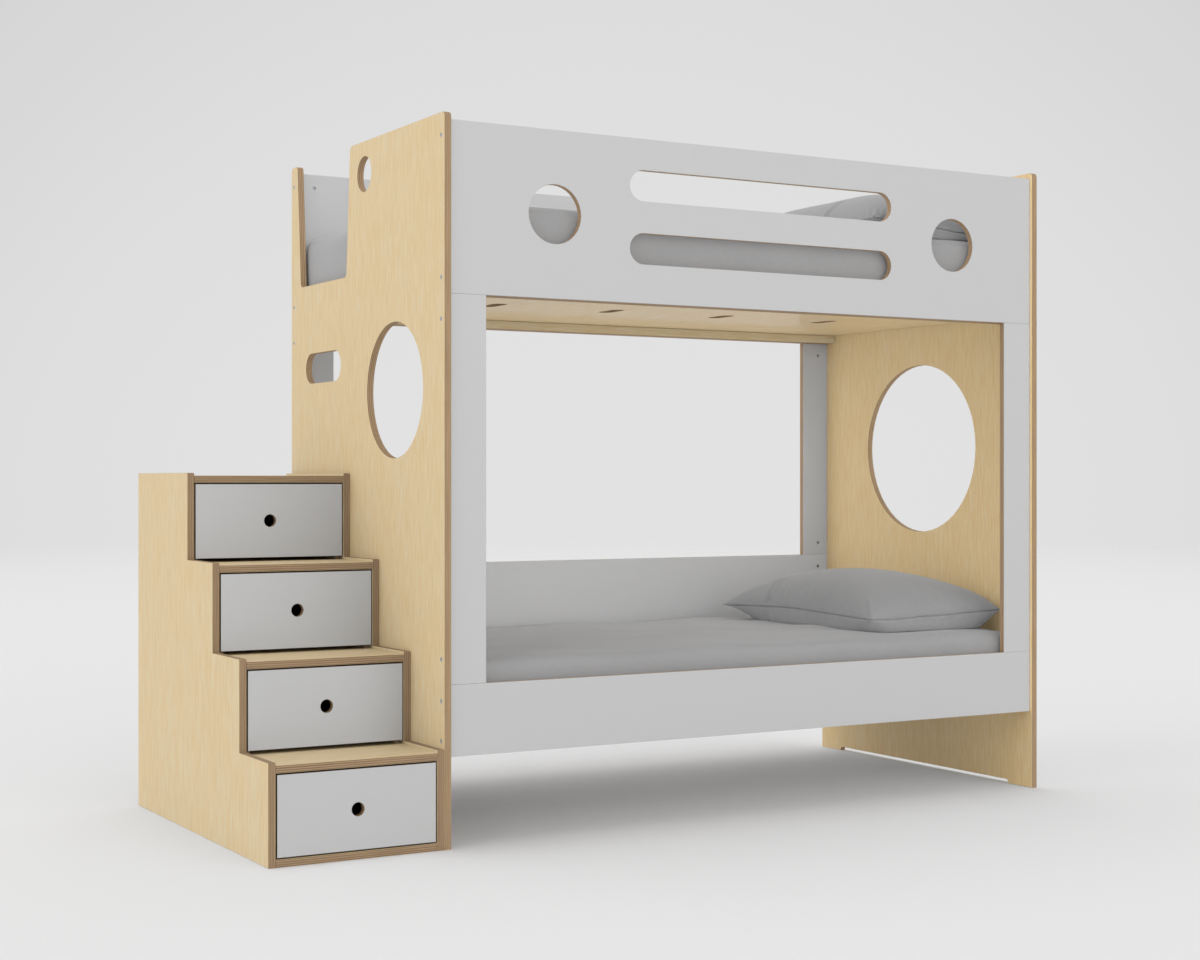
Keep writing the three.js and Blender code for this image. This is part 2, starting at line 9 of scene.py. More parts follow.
import bmesh
import bpy
import numpy as np
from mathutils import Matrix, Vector


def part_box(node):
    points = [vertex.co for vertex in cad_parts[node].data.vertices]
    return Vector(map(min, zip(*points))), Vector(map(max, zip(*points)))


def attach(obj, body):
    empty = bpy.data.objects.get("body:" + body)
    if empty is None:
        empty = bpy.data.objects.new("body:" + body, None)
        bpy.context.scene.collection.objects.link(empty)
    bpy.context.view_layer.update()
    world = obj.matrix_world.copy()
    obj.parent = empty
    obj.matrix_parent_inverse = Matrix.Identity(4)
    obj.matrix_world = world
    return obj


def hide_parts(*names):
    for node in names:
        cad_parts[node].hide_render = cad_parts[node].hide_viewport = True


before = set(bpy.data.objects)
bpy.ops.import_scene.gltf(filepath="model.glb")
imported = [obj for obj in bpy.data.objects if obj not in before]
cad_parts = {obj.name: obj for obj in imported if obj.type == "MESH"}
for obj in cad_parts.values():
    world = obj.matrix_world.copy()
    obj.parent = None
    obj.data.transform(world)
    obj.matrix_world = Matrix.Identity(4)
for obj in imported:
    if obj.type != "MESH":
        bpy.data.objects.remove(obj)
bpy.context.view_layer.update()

bl_info = {
    "name": "Bunk bed with a stair of drawers",
    "version": (1, 0, 0),
    "blender": (4, 5, 0),
    "location": "3D View > Sidebar > Bunk bed",
    "description": "Finishes, bedding, connectors and studio of a plywood bunk bed",
    "category": "Object",
}

ROOT = "bed_and_stair"

BUNKS = ("upper", "lower")
SIDES = ("front", "back")
ENDS = ("left", "right")
STEPS = range(1, 5)
DECK_BOARDS = range(1, 6)

# Boards by finish, by the axis of their thickness and by the axis of their grain
BOARDS = (
    ("maple", "X", "Z", ("left_end_panel",)),
    # The inner finish is the maple's veneer painted brighter and warmer: painted light inside the bed
    ("inner", "X", "Z", ("right_end_panel",)),
    # The stair finish is the maple's veneer with its cut edges painted darker: painted shade
    ("stair", "X", "Z", ("stair_outer_side", "stair_inner_side")),
    ("stair", "Y", "Z", ("stair_back",)),
    ("stair", "Z", "X", ("stair_base", *(f"stair_tread_{i}" for i in STEPS))),
    ("maple", "Y", "X", tuple(f"{bunk}_{side}_ledger" for bunk in BUNKS for side in SIDES)),
    ("inner", "Z", "Y", tuple(f"{bunk}_deck_board_{i}" for bunk in BUNKS for i in DECK_BOARDS)),
    ("laminate", "Y", "X", tuple(f"{side}_{rail}_rail" for side in SIDES for rail in ("guard", "bottom"))),
    ("laminate", "Y", "Z", tuple(f"{side}_{end}_stile" for side in SIDES for end in ENDS)),
    ("laminate", "Y", "X", tuple(f"drawer_{i}_front" for i in STEPS)),
    ("drawer", "X", "Y", tuple(f"drawer_{i}_{end}_side" for i in STEPS for end in ENDS)),
    ("drawer", "Y", "X", tuple(f"drawer_{i}_back" for i in STEPS)),
    ("drawer", "Z", "X", tuple(f"drawer_{i}_floor" for i in STEPS)),
)

# Noise in the wood: steps a metre along the grain, across it and through the thickness
GRAIN = {
    "broad": (0.9, 11, 11),
    "narrow": (4.5, 62, 62),
    "fine": (14, 270, 270),
    "pores": (60, 1500, 1500),
    "core": (9, 9, 900),
}
NO_SHIFT = (0, 0, 0)
# The height in metres of a face's relief, and the roughness of its smoothest and its roughest spots
FACES = {
    "laminate": (0.00002, 0.34, 0.40),
    "veneer": (0.00006, 0.42, 0.56),
}

# Width and length in metres of the pillow case that is simulated for its creases
CASE_SIZE = (0.540, 0.800)

# A pillow's own shape, with places on its width and its length from -1 to 1:
# turn is its turn on the mattress, and flip is -1 where the creases of the simulated case are turned round;
# seam and top are bumps of the seam and of the top, each as a place, a reach and a height;
# folds are folds of the case, each as two places, a width and a height;
# corner is the corner that reaches out and how far, and front is how far the front edge does
PILLOWS = {
    "lower_pillow": {
        "turn": 0.006,
        "flip": 1,
        "seam": ((-1.0, 0.20, 0.60, 0.009), (-0.6, -1.0, 0.30, -0.004), (1.0, -1.0, 0.60, 0.012)),
        "top": ((-1.0, 1.0, 0.50, -0.012),),
        "folds": (
            (-1.30, 0.32, -0.60, 0.52, 0.010, 0.0068),
            (-1.20, 0.18, -0.78, 0.28, 0.008, 0.0010),
            (-1.10, -1.08, -0.82, -0.80, 0.007, 0.0034),
        ),
        "corner": (-1, 1, 0.016),
        "front": 0.0,
    },
    "upper_pillow": {
        "turn": -0.02,
        "flip": -1,
        "seam": ((0.6, -1.0, 0.70, -0.023), (-1.0, 0.3, 0.50, 0.006)),
        "top": ((-0.45, 0.0, 0.55, -0.016),),
        "folds": (
            (-1.25, -0.24, -0.66, -0.38, 0.008, -0.0054),
            (-1.10, -1.04, -0.88, -0.92, 0.006, 0.0046),
            (-0.96, -1.06, -0.82, -0.94, 0.005, 0.0040),
            (-1.04, -0.94, -0.90, -0.84, 0.005, 0.0030),
        ),
        "corner": (-1, 1, 0.0),
        "front": 0.026,
    },
}

# Names of the settings that hold the light that each finish throws on to its neighbours
BOUNCE = {
    "maple": "outer_bounce",
    "stair": "stair_bounce",
    "inner": "inner_bounce",
    "laminate": "laminate_bounce",
    "drawer": "drawer_bounce",
}
# Names of the settings that hold each wood finish's colours: warm veneer, pale veneer, growth lines
WOODS = {
    "maple": ("maple_warm", "maple_pale", "maple_line"),
    "stair": ("maple_warm", "maple_pale", "maple_line"),
    # The inner colours are the maple's made brighter and warmer: painted light inside the bed
    "inner": ("inner_warm_painted_light", "inner_pale_painted_light", "inner_line_painted_light"),
    "drawer": ("drawer_warm", "drawer_pale", "drawer_line"),
}

# Where each of the studio's soft lights stands, and how far round it its light reaches, as a cosine
LIGHTS = {
    "overhead": ((0, 0, 1), 0.0),
    "rear": ((0, 1, 0.2), 0.0),
    "front": ((0.15, -1, 0), 0.55),
    "left": ((-1, 0, 0.05), 0.55),
    "right": ((1, 0, 0.05), 0.55),
}


def colour(name, description, default):
    return bpy.props.FloatVectorProperty(
        name=name, description=description, subtype="COLOR", size=3, min=0, max=1, default=default
    )


def length(name, description, default):
    return bpy.props.FloatProperty(
        name=name, description=description, unit="LENGTH", precision=4, default=default
    )


def share(name, description, default):
    return bpy.props.FloatProperty(name=name, description=description, subtype="FACTOR", default=default)


def amount(name, description, default):
    return bpy.props.FloatProperty(name=name, description=description, default=default)


class BoardSettings(bpy.types.PropertyGroup):
    """Colours and layers of the plywood."""

    maple_warm: colour("Warm maple", "Warmer streaks of the outer boards", (0.735, 0.568, 0.325))
    maple_pale: colour("Pale maple", "Paler streaks of the outer boards", (0.725, 0.592, 0.376))
    maple_line: colour("Maple lines", "Growth lines of the outer boards", (0.712, 0.522, 0.268))
    # The inner boards' colours are the maple's made brighter and warmer: painted light on the shaded inside
    # of the bed
    inner_warm_painted_light: colour("Warm inner maple", "Warmer streaks of the inner boards", (0.865, 0.640, 0.333))
    inner_pale_painted_light: colour("Pale inner maple", "Paler streaks of the inner boards", (0.857, 0.668, 0.384))
    inner_line_painted_light: colour("Inner maple lines", "Growth lines of the inner boards", (0.838, 0.588, 0.274))
    laminate_face: colour("Laminate", "Laminate on rails, stiles and drawer fronts", (0.589, 0.589, 0.589))
    laminate_cloud: colour("Laminate cloud", "Colour that clouds the laminate a little", (0.62, 0.62, 0.63))
    # The back bottom rail's laminate is made brighter than the other laminate: painted light inside the bed
    back_rail_painted_light: share("Back face", "Brightness of the back bottom rail's laminate", 1.08)
    # The drawer fronts' laminate is made darker than the rails': painted shade from the end panel beside them
    drawer_fronts_painted_shade: share("Drawer face", "Brightness of the drawer fronts' laminate", 0.963)
    drawer_warm: colour("Warm drawer ply", "Warmer streaks of the drawer boxes", (0.560, 0.400, 0.220))
    drawer_pale: colour("Pale drawer ply", "Paler streaks of the drawer boxes", (0.520, 0.410, 0.250))
    drawer_line: colour("Drawer ply lines", "Growth lines of the drawer boxes", (0.470, 0.310, 0.150))
    # The stair's cut edges are made darker than the bed's: painted shade
    stair_core_painted_shade: share("Stair core", "How much darker the cut edges of the stair are", 0.84)
    core_light: colour("Light core", "Lighter plies in a cut edge", (0.555, 0.376, 0.214))
    core_dark: colour("Dark core", "Darker plies in a cut edge", (0.265, 0.168, 0.092))
    maple_veneer: length("Veneer", "Thickness of the face veneer", 0.0006)
    laminate_sheet: length("Laminate sheet", "Thickness of the laminate with its softened edge", 0.0011)
    deck_lacquer: share("Deck lacquer", "Strength of the gloss on the deck boards", 0.25)
    ply: length("Ply", "Thickness of one core ply", 0.0026)
    # The dark line round a drawer front is painted shadow of the gap around it
    gap_shadow_width: length("Front line", "Width of the dark line round a drawer front", 0.0012)
    outer_bounce: colour("Outer bounce", "Light that the outer boards throw on", (0.44, 0.42, 0.38))
    stair_bounce: colour("Stair bounce", "Light that the stair throws on", (0.60, 0.57, 0.51))
    inner_bounce: colour("Inner bounce", "Light that the inner boards throw on", (0.92, 0.92, 0.91))
    laminate_bounce: colour("Laminate bounce", "Light that the laminate throws on", (0.94, 0.94, 0.95))
    drawer_bounce: colour("Drawer bounce", "Light that the drawer boxes throw on", (0.60, 0.55, 0.48))


class BeddingSettings(bpy.types.PropertyGroup):
    """Sizes and colour of the mattresses and pillows."""

    sheet_linen: colour("Sheet", "Colour of the fitted sheets", (0.388, 0.388, 0.392))
    pillow_linen: colour("Pillow case", "Colour of the pillow cases", (0.350, 0.350, 0.354))
    bounce: colour("Bounce", "Light that the linen throws on", (0.76, 0.76, 0.77))
    thread: length("Thread", "Width of one thread of the weave", 0.0007)
    mattress_radius: length("Mattress edge", "Radius of the mattress edges", 0.034)
    mattress_crown: length("Mattress crown", "Rise of the mattress towards its middle", 0.005)
    mattress_cell: length("Mattress cell", "Spacing of the mattress mesh", 0.020)
    mattress_wave: length("Mattress wave", "Height of the shallow waves in the sheet", 0.0022)
    mattress_spread: length("Mattress spread", "How far each end reaches past its solid", 0.002)
    mattress_swell: length("Mattress swell", "How far the sheet may move in the simulation", 0.004)
    pillow_seam: length("Pillow seam height", "Height of the seam over the mattress", 0.043)
    pillow_pinch: length("Pillow pinch", "How far the pillow's sides draw in", 0.026)
    seam_groove: length("Seam groove", "Depth of the groove at a pillow's seam", 0.0080)
    seam_width: length("Seam width", "Half the width of the groove at a pillow's seam", 0.0016)
    underside: amount("Underside", "How steeply the pillow's lower sheet drops to the mattress", 4.0)
    plumpness: share("Plumpness", "Power of the pillow's rise from seam to middle", 0.43)
    ridge: share("Ridge", "How clearly ridges run in from the pillow's corners", 0.32)


class ConnectorSettings(bpy.types.PropertyGroup):
    """Sizes and colours of the connector bolts and barrel nuts."""

    steel_dark: colour("Dark steel", "Darker spots of the zinc plating", (0.35, 0.37, 0.43))
    steel_light: colour("Light steel", "Lighter spots of the zinc plating", (0.46, 0.48, 0.54))
    # The bolts are made less metallic and brighter than the nuts of the same steel: painted light on the bolt
    # heads
    bolt_metal_painted_light: share("Bolt metal", "How far a bolt shines as metal and not as dull plating", 0.6)
    bolt_painted_light: share("Bolt brightness", "Brightness of a bolt's plating", 1.25)
    head_radius: length("Head radius", "Radius of a bolt's head", 0.006)
    head_thickness: length("Head thickness", "Thickness of a bolt's head", 0.0025)
    head_recess: length("Head recess", "How far a head lies below the panel's face", 0.0003)
    shank_radius: length("Shank radius", "Radius of a bolt's shank", 0.003)
    socket_radius: length("Socket radius", "Radius of the hexagon socket at its corners", 0.0023)
    socket_depth: length("Socket depth", "Depth of the hexagon socket", 0.0015)
    nut_radius: length("Nut radius", "Radius of a barrel nut", 0.005)
    nut_length: length("Nut length", "Length of a barrel nut", 0.012)
    nut_inset: length("Nut inset", "From the end of a board to its nut", 0.040)
    tip: length("Tip", "Length of a bolt past the middle of its nut", 0.006)
    rail_inset: length("Rail inset", "From a rail's long edge to its bolt", 0.040)
    left_stile_inset: length("Left stile inset", "From a left stile's end to its bolt", 0.064)
    right_stile_inset: length("Right stile inset", "From a right stile's end to its bolt", 0.040)


class StudioSettings(bpy.types.PropertyGroup):
    """Camera, floor and light."""

    camera_place: bpy.props.FloatVectorProperty(
        name="Camera",
        description="Place of the camera",
        subtype="TRANSLATION",
        default=(-2.8321, -4.8827, 0.9211),
    )
    camera_turn: bpy.props.FloatProperty(
        name="Camera turn",
        description="Turn of the camera about the vertical",
        subtype="ANGLE",
        default=-0.525702,
    )
    lens: amount("Lens", "Focal length in millimetres", 58.0944)
    sensor: amount("Sensor", "Width of the camera's sensor in millimetres", 36.0)
    floor_near: colour("Near floor", "Colour of the floor by the bed", (0.860, 0.860, 0.860))
    floor_far: colour("Far floor", "Colour of the floor further away", (0.850, 0.850, 0.850))
    floor_radius: length("Floor radius", "Radius of the floor", 40.0)
    near_end: length("Near end", "Distance at which the near floor starts to change", 1.5)
    far_start: length("Far start", "Distance at which the far floor begins", 7.0)
    fade_start: length("Fade start", "Distance at which the floor starts to fade", 7.0)
    fade_end: length("Fade end", "Distance at which the floor has faded", 26.0)
    overhead: amount("Overhead", "Soft light from above", 0.78)
    rear: amount("Rear", "Soft light from behind", 0.55)
    front: amount("Front", "Soft light from the front", 1.53)
    left: amount("Left", "Soft light from the stair's side", 1.50)
    right: amount("Right", "Soft light from the far end", 0.49)
    backdrop_low: amount("Low backdrop", "Brightness of the backdrop at the horizon", 0.761)
    backdrop_high: amount("High backdrop", "Brightness of the backdrop higher up", 0.733)
    backdrop_side: amount("Backdrop's side", "How much darker the backdrop is at the sides", 0.14)


class Graph:
    """A material's node tree, built node by node."""

    def __init__(self, owner):
        owner.use_nodes = True
        self.tree = owner.node_tree
        self.tree.nodes.clear()

    def add(self, kind, inputs=None, **settings):
        """Adds a node. An input's value is a number, a colour or another node's socket."""
        made = self.tree.nodes.new(kind)
        for key, value in settings.items():
            setattr(made, key, value)
        for key, value in (inputs or {}).items():
            if isinstance(value, bpy.types.NodeSocket):
                self.tree.links.new(value, made.inputs[key])
            else:
                made.inputs[key].default_value = value
        return made

    def math(self, operation, *values, clamp=False):
        inputs = dict(enumerate(values))
        return self.add("ShaderNodeMath", inputs, operation=operation, use_clamp=clamp).outputs[0]

    def mix(self, factor, first, second, blend="MIX"):
        """A colour between first and second."""
        made = self.add("ShaderNodeMix", data_type="RGBA", blend_type=blend)
        for socket, value in zip((made.inputs[0], made.inputs[6], made.inputs[7]), (factor, first, second)):
            if isinstance(value, bpy.types.NodeSocket):
                self.tree.links.new(value, socket)
            else:
                socket.default_value = value
        return made.outputs[2]

    def ramp(self, value, low, high, to_low=0.0, to_high=1.0):
        """A number that goes smoothly from to_low to to_high as value goes from low to high."""
        inputs = {0: value, 1: low, 2: high, 3: to_low, 4: to_high}
        return self.add("ShaderNodeMapRange", inputs, interpolation_type="SMOOTHSTEP").outputs[0]

    def noise(self, vector, scale=1.0, detail=2.0, roughness=0.5):
        inputs = {"Vector": vector, "Scale": scale, "Detail": detail, "Roughness": roughness}
        return self.add("ShaderNodeTexNoise", inputs).outputs[0]

    def stretched(self, vector, scales, offset):
        """A place moved by offset and scaled by its own factor along each axis."""
        moved = self.add("ShaderNodeVectorMath", {0: vector, 1: offset}, operation="ADD").outputs[0]
        return self.add("ShaderNodeVectorMath", {0: moved, 1: scales}, operation="MULTIPLY").outputs[0]

    def grey(self, tone):
        """A grey colour as bright as the tone."""
        return self.add("ShaderNodeCombineColor", {0: tone, 1: tone, 2: tone}).outputs[0]

    def place(self):
        return self.add("ShaderNodeTexCoord").outputs["Object"]

    def cosine(self, first, second):
        """The cosine of the angle between two directions."""
        inputs = {0: first, 1: second}
        return self.add("ShaderNodeVectorMath", inputs, operation="DOT_PRODUCT").outputs["Value"]

    def bump(self, height, distance, strength=1.0):
        inputs = {"Height": height, "Distance": distance, "Strength": strength}
        return self.add("ShaderNodeBump", inputs).outputs[0]

    def onward(self, tint, bounce):
        """The tint itself, but the colour bounce where it throws light on to other surfaces."""
        thrown = self.add("ShaderNodeLightPath").outputs["Is Diffuse Ray"]
        return self.mix(thrown, tint, opaque(bounce))

    def surface(self, **inputs):
        """Ends the graph with a principled surface. An underscore in a name stands for a space."""
        named = {key.replace("_", " "): value for key, value in inputs.items()}
        shader = self.add("ShaderNodeBsdfPrincipled", named)
        self.add("ShaderNodeOutputMaterial", {"Surface": shader.outputs[0]})
        return shader


def opaque(tint):
    return (*tint, 1.0)


def times(tint, factor):
    """An opaque colour of the tint's parts times the factor."""
    return opaque([factor * part for part in tint])


def along(axes, forward, across, through):
    """Factors for X, Y and Z: forward on the grain's axis, through on the thickness's, else across."""
    grain, thickness = axes
    return [forward if name == grain else through if name == thickness else across for name in "XYZ"]


def grained(graph, kind, place, axes, seed, detail):
    """Noise drawn out along the grain."""
    return graph.noise(graph.stretched(place, along(axes, *GRAIN[kind]), seed), detail=detail)


def core_colour(graph, settings, place, depth, axes, seed, dark, thick):
    """Plies in a cut edge, and their streaks.

    The plies are an odd number of bands that alternate in tone, the outer ones dark. Each has a tone of its
    own besides, fine streaks, and a dark line of glue at its edges.
    """
    own_tone, glue_width, glue_strength, glue_tone = 0.25, 0.09, 0.70, 0.6
    plies = 2 * round((thick / settings.ply - 1) / 2) + 1
    step = graph.math("MULTIPLY", depth, plies / thick)
    band = graph.math("FLOOR", step)
    inputs = {"Vector": graph.stretched(place, (0, 0, 0), seed), "W": band}
    spread = graph.add("ShaderNodeTexWhiteNoise", inputs, noise_dimensions="4D").outputs[0]
    parity = graph.math("PINGPONG", band, 1.0)
    tone = graph.math("MULTIPLY_ADD", spread, own_tone, graph.math("MULTIPLY", parity, 1 - own_tone))
    streaks = grained(graph, "core", place, axes, seed, 3)
    tone = graph.math("ADD", tone, graph.ramp(streaks, 0.3, 0.7, -0.25, 0.25), clamp=True)
    layers = graph.mix(tone, times(settings.core_dark, dark), times(settings.core_light, dark))
    glue = graph.ramp(graph.math("PINGPONG", step, 0.5), 0.0, glue_width, glue_strength, 0.0)
    return graph.mix(glue, layers, times(settings.core_dark, dark * glue_tone)), streaks


def veneer_colour(graph, settings, finish, place, axes, seed):
    """Maple veneer: broad and narrow streaks along the grain, short growth lines, and fine dark pores."""
    warm, pale, line = (opaque(getattr(settings, name)) for name in WOODS[finish])
    broad = grained(graph, "broad", place, axes, seed, 2)
    narrow = grained(graph, "narrow", place, axes, seed, 3)
    fine = grained(graph, "fine", place, axes, seed, 2)
    pores = grained(graph, "pores", place, axes, seed, 1)
    streaks = (graph.ramp(broad, 0.36, 0.64, 0.05, 0.35), graph.ramp(narrow, 0.36, 0.64, 0.05, 0.65))
    tinted = graph.mix(graph.math("ADD", *streaks), warm, pale)
    tinted = graph.mix(graph.ramp(fine, 0.44, 0.66, 0.0, 1.0), tinted, line)
    shades = (graph.ramp(fine, 0.3, 0.5, 1.04, 1.0), graph.ramp(pores, 0.62, 0.78, 1.0, 0.84))
    face = graph.mix(1.0, tinted, graph.grey(graph.math("MULTIPLY", *shades)), blend="MULTIPLY")
    return face, graph.math("ADD", fine, graph.math("MULTIPLY", pores, 0.5))


def laminate_colour(graph, settings, node, place, seed):
    """Plain laminate: one colour with a faint cloud in it, and a fine speckle as its relief. The back bottom
    rail's is made brighter, as painted light, and the drawer fronts' darker, as painted shade.
    """
    speckle = graph.noise(graph.stretched(place, (700, 700, 700), seed), detail=1)
    cloud = graph.noise(graph.stretched(place, (3, 3, 3), seed), detail=2)
    pale = 1.0
    # The back bottom rail's laminate is brightened: painted light
    if node == "back_bottom_rail":
        pale = settings.back_rail_painted_light
    # The drawer fronts' laminate is darkened: painted shade
    elif is_drawer_front(node):
        pale = settings.drawer_fronts_painted_shade
    tints = (times(tint, pale) for tint in (settings.laminate_face, settings.laminate_cloud))
    return graph.mix(graph.ramp(cloud, 0.3, 0.7, 0.0, 0.04), *tints), speckle


def is_drawer_front(node):
    return node.startswith("drawer") and node.endswith("front")


def painted_gap_shadow(graph, settings, parts, axis, box):
    """Painted shadow of the gap round a drawer front: one within the shadow's width of the board's rim, and
    nought further in.
    """
    low, high = box
    rim = 1.0
    for i in {0, 1, 2} - {axis}:
        for edge, sign in ((low[i], 1), (high[i], -1)):
            inward = graph.math("MULTIPLY", graph.math("SUBTRACT", parts.outputs[i], edge), sign)
            rim = graph.math("MINIMUM", rim, inward)
    return graph.ramp(rim, 0.8 * settings.gap_shadow_width, 1.2 * settings.gap_shadow_width, 1.0, 0.0)


def board_material(name, node, finish, thickness, grain, number):
    """One board: its face as deep as its veneer, and layers of core behind that wherever it is cut."""
    settings = bpy.context.scene.bunk_boards
    axis = "XYZ".index(thickness)
    axes = (grain, thickness)
    low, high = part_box(node)
    seed = (0.713 * number, 1.271 * number, 0.937 * number)
    material = bpy.data.materials.new(name)
    graph = Graph(material)
    place = graph.place()
    parts = graph.add("ShaderNodeSeparateXYZ", {0: place})
    depth = graph.math("SUBTRACT", parts.outputs[axis], low[axis])
    nearest = graph.math("MINIMUM", depth, graph.math("SUBTRACT", high[axis], parts.outputs[axis]))
    veneer = settings.laminate_sheet if finish == "laminate" else settings.maple_veneer
    cut = graph.ramp(nearest, 0.85 * veneer, 1.15 * veneer)
    # The stair's cut edges are darkened by this factor: painted shade
    dark = settings.stair_core_painted_shade if finish == "stair" else 1.0
    core, streaks = core_colour(graph, settings, place, depth, axes, seed, dark, high[axis] - low[axis])
    if finish == "laminate":
        face, relief = laminate_colour(graph, settings, node, place, seed)
        relief_height, smooth, rough = FACES["laminate"]
    else:
        face, relief = veneer_colour(graph, settings, finish, place, axes, seed)
        relief_height, smooth, rough = FACES["veneer"]
    rougher_core = graph.math("MULTIPLY", cut, 0.22)
    seen = graph.mix(cut, graph.onward(face, getattr(settings, BOUNCE[finish])), core)
    # A dark band at the drawer front's rim: painted shadow of the gap round it
    if is_drawer_front(node):
        line = painted_gap_shadow(graph, settings, parts, axis, (low, high))
        seen = graph.mix(line, seen, times(settings.core_dark, 0.25))
    height = graph.math("MULTIPLY_ADD", graph.math("MULTIPLY", streaks, cut), 3.0, relief)
    graph.surface(
        Base_Color=seen,
        Roughness=graph.math("ADD", graph.ramp(relief, 0.3, 0.7, smooth, rough), rougher_core),
        Normal=graph.bump(height, relief_height, 0.6),
        Coat_Weight=settings.deck_lacquer if "deck_board" in node else 0.0,
        Coat_Roughness=0.06,
    )
    return material


def linen_material(name, linen):
    """Plain weave: threads over and under each other on the piece's UV map, in metres, with uneven yarn."""
    settings = bpy.context.scene.bunk_bedding
    material = bpy.data.materials.new(name)
    graph = Graph(material)
    flat = graph.add("ShaderNodeUVMap", uv_map="Cloth").outputs[0]
    parts = graph.add("ShaderNodeSeparateXYZ", {0: flat})
    turns = [graph.math("MULTIPLY", parts.outputs[i], math.pi / settings.thread) for i in range(2)]
    warp, weft = (graph.math("SINE", turn) for turn in turns)
    crossing = graph.math("MULTIPLY", warp, weft)
    lengthwise, crosswise = ((40, 1400, 0), (1400, 40, 0))
    yarns = (graph.noise(graph.stretched(flat, way, NO_SHIFT), detail=2) for way in (lengthwise, crosswise))
    yarn = graph.math("ADD", *yarns)
    cloud = graph.noise(graph.stretched(flat, (5, 5, 0), NO_SHIFT), detail=3)
    tone = graph.math("ADD", graph.ramp(yarn, 0.7, 1.3, 0.93, 1.05), graph.ramp(cloud, 0.3, 0.7, -0.02, 0.02))
    tone = graph.math("MULTIPLY_ADD", crossing, 0.03, tone)
    base = graph.mix(1.0, opaque(linen), graph.grey(tone), blend="MULTIPLY")
    height = graph.math("MULTIPLY_ADD", crossing, 0.6, graph.math("MULTIPLY", yarn, 0.8))
    graph.surface(
        Base_Color=graph.onward(base, settings.bounce),
        Roughness=graph.ramp(yarn, 0.6, 1.4, 0.82, 0.95),
        Normal=graph.bump(height, 0.00018, 0.5),
        Sheen_Weight=0.25,
        Sheen_Roughness=0.45,
    )
    return material


def steel_material(name, metal, pale):
    """Zinc-plated steel with fine turning marks and a faint blue cast, duller where metal is below one. The
    bolts' is less metallic and brighter than the nuts' of the same steel: painted light.
    """
    settings = bpy.context.scene.bunk_connectors
    material = bpy.data.materials.new(name)
    graph = Graph(material)
    place = graph.place()
    marks = graph.noise(graph.stretched(place, (2600, 2600, 2600), NO_SHIFT), detail=2)
    cloud = graph.noise(graph.stretched(place, (260, 260, 260), NO_SHIFT), detail=2)
    tints = (times(tint, pale) for tint in (settings.steel_dark, settings.steel_light))
    graph.surface(
        Base_Color=graph.mix(graph.ramp(cloud, 0.3, 0.7), *tints),
        Metallic=metal,
        Roughness=graph.ramp(marks, 0.3, 0.7, 0.28, 0.44),
        Normal=graph.bump(marks, 0.00002, 0.4),
    )
    return material


def quads(index):
    """Faces between neighbours of a 2-D array of vertex numbers."""
    return np.stack([index[:-1, :-1], index[1:, :-1], index[1:, 1:], index[:-1, 1:]], -1).reshape(-1, 4)


def grids(sheets):
    """Points and faces of several grids of points, each with its own vertices."""
    points, faces, count = [], [], 0
    for sheet, outward in sheets:
        index = count + np.arange(sheet.shape[0] * sheet.shape[1]).reshape(sheet.shape[:2])
        points.append(sheet.reshape(-1, 3))
        faces.append(quads(index) if outward else quads(index)[:, ::-1])
        count += index.size
    return np.concatenate(points), np.concatenate(faces)


def shared(points, closeness):
    """The first point at each place, and for each point the number of its place."""
    places = np.round(points / closeness)
    _, kept, number = np.unique(places, axis=0, return_index=True, return_inverse=True)
    return kept, number.reshape(-1)


def weld(points, faces, closeness=1e-6):
    """Joins points that share a place."""
    kept, number = shared(points, closeness)
    return points[kept], number[faces]


def make_piece(name, points, faces, material, replaced=(), uv=None, smooth=True):
    """A mesh object at the origin from arrays of points and faces, riding on the bed's own body.

    uv holds a place on the cloth for each corner of each face.
    """
    mesh = bpy.data.meshes.new(name)
    mesh.from_pydata(points.tolist(), [], [list(face) for face in faces])
    if uv is not None:
        layer = mesh.uv_layers.new(name="Cloth")
        layer.data.foreach_set("uv", np.asarray(uv, np.float32).ravel())
    mesh.polygons.foreach_set("use_smooth", np.full(len(mesh.polygons), smooth))
    mesh.materials.append(material)
    mesh.update()
    piece = bpy.data.objects.new(name, mesh)
    bpy.context.scene.collection.objects.link(piece)
    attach(piece, ROOT)
    if replaced:
        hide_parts(*replaced)
    return piece


def smoothing(count, width):
    """A matrix that blurs a row of count values by a bell curve of the given width in steps."""
    steps = np.arange(count)
    weights = np.exp(-0.5 * ((steps[:, None] - steps[None, :]) / width) ** 2)
    return weights / weights.sum(1, keepdims=True)


def sampling(places, count):
    """A matrix that reads a row of count even samples, from -1 to 1, at the given places."""
    at = (np.clip(places, -1, 1) + 1) / 2 * (count - 1)
    before = np.minimum(at.astype(int), count - 2)
    weights = np.zeros((len(places), count))
    weights[np.arange(len(places)), before] = 1 - (at - before)
    weights[np.arange(len(places)), before + 1] = at - before
    return weights


